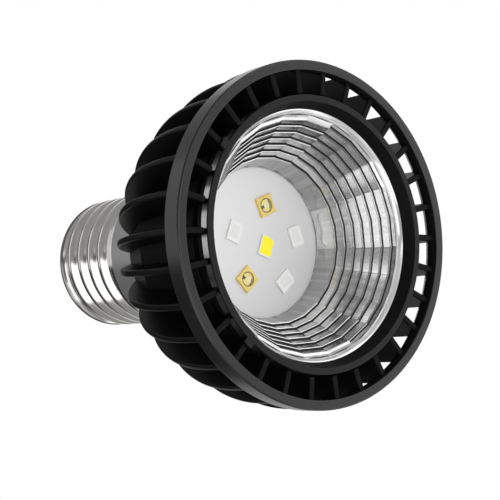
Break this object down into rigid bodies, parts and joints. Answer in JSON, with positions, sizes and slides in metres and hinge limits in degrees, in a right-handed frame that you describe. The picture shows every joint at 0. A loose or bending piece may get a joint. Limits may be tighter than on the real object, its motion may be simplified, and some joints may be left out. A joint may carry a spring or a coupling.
{
  "type": "reptile uvb bulb",
  "caption": "Short reflector LED lamp with a faceted stepped mirror cup, a ring of radial cooling fins and an Edison screw base.",
  "frame": {"origin": "centre of the front ring's front face, on which the lamp stands", "axes": "+Z along the lamp's axis, from the light side towards the screw base; X and Y across the lamp"},
  "size_m": [0.061, 0.061, 0.0711],
  "materials": {
    "black_casting": "satin black coating on cast aluminium",
    "black_plastic": "satin black",
    "mirror_coat": "bright metallised coating",
    "board_white": "white board lacquer",
    "pad_grey": "matte",
    "gold_base": "gold plated",
    "uv_chip": "polished",
    "quartz": "clear",
    "led_package": "satin white",
    "clear_resin": "glossy, slightly milky",
    "phosphor": "satin yellow",
    "neck_grey": "satin grey",
    "sleeve_plastic": "satin",
    "board_green": "satin lacquer",
    "capacitor_sleeve": "glossy sleeve",
    "copper_wire": "varnished copper winding",
    "resistor_body": "satin lacquer",
    "package_black": "matte moulded",
    "lead_red": "insulated wire",
    "lead_black": "insulated wire",
    "tinned_wire": "tinned copper",
    "nickel_plate": "nickel plated",
    "insulator_black": "glossy",
    "tinned_contact": "tinned, satin"
  },
  "bodies": {
    "root": {"heat_sink": "black_casting", "bezel": "black_plastic", "reflector": "mirror_coat", "led_board": "board_white", "thermal_pad": "pad_grey", "uv_led_a": "gold_base", "uv_led_b": "gold_base", "uv_chip_a": "uv_chip", "uv_chip_b": "uv_chip", "uv_window_a": "quartz", "uv_window_b": "quartz", "clear_led_a": "led_package", "clear_led_b": "led_package", "clear_led_c": "led_package", "warm_led": "led_package", "clear_resin_a": "clear_resin", "clear_resin_b": "clear_resin", "clear_resin_c": "clear_resin", "warm_resin": "phosphor", "neck": "neck_grey", "driver_sleeve": "sleeve_plastic", "driver_board": "board_green", "smoothing_capacitor": "capacitor_sleeve", "output_capacitor": "capacitor_sleeve", "inductor": "copper_wire", "fuse_resistor": "resistor_body", "rectifier": "package_black", "driver_chip": "package_black", "led_lead_a": "lead_red", "led_lead_b": "lead_black", "live_lead": "tinned_wire", "neutral_lead": "tinned_wire", "screw_shell": "nickel_plate", "base_insulator": "insulator_black", "centre_contact": "tinned_contact"}
  },
  "joints": []
}
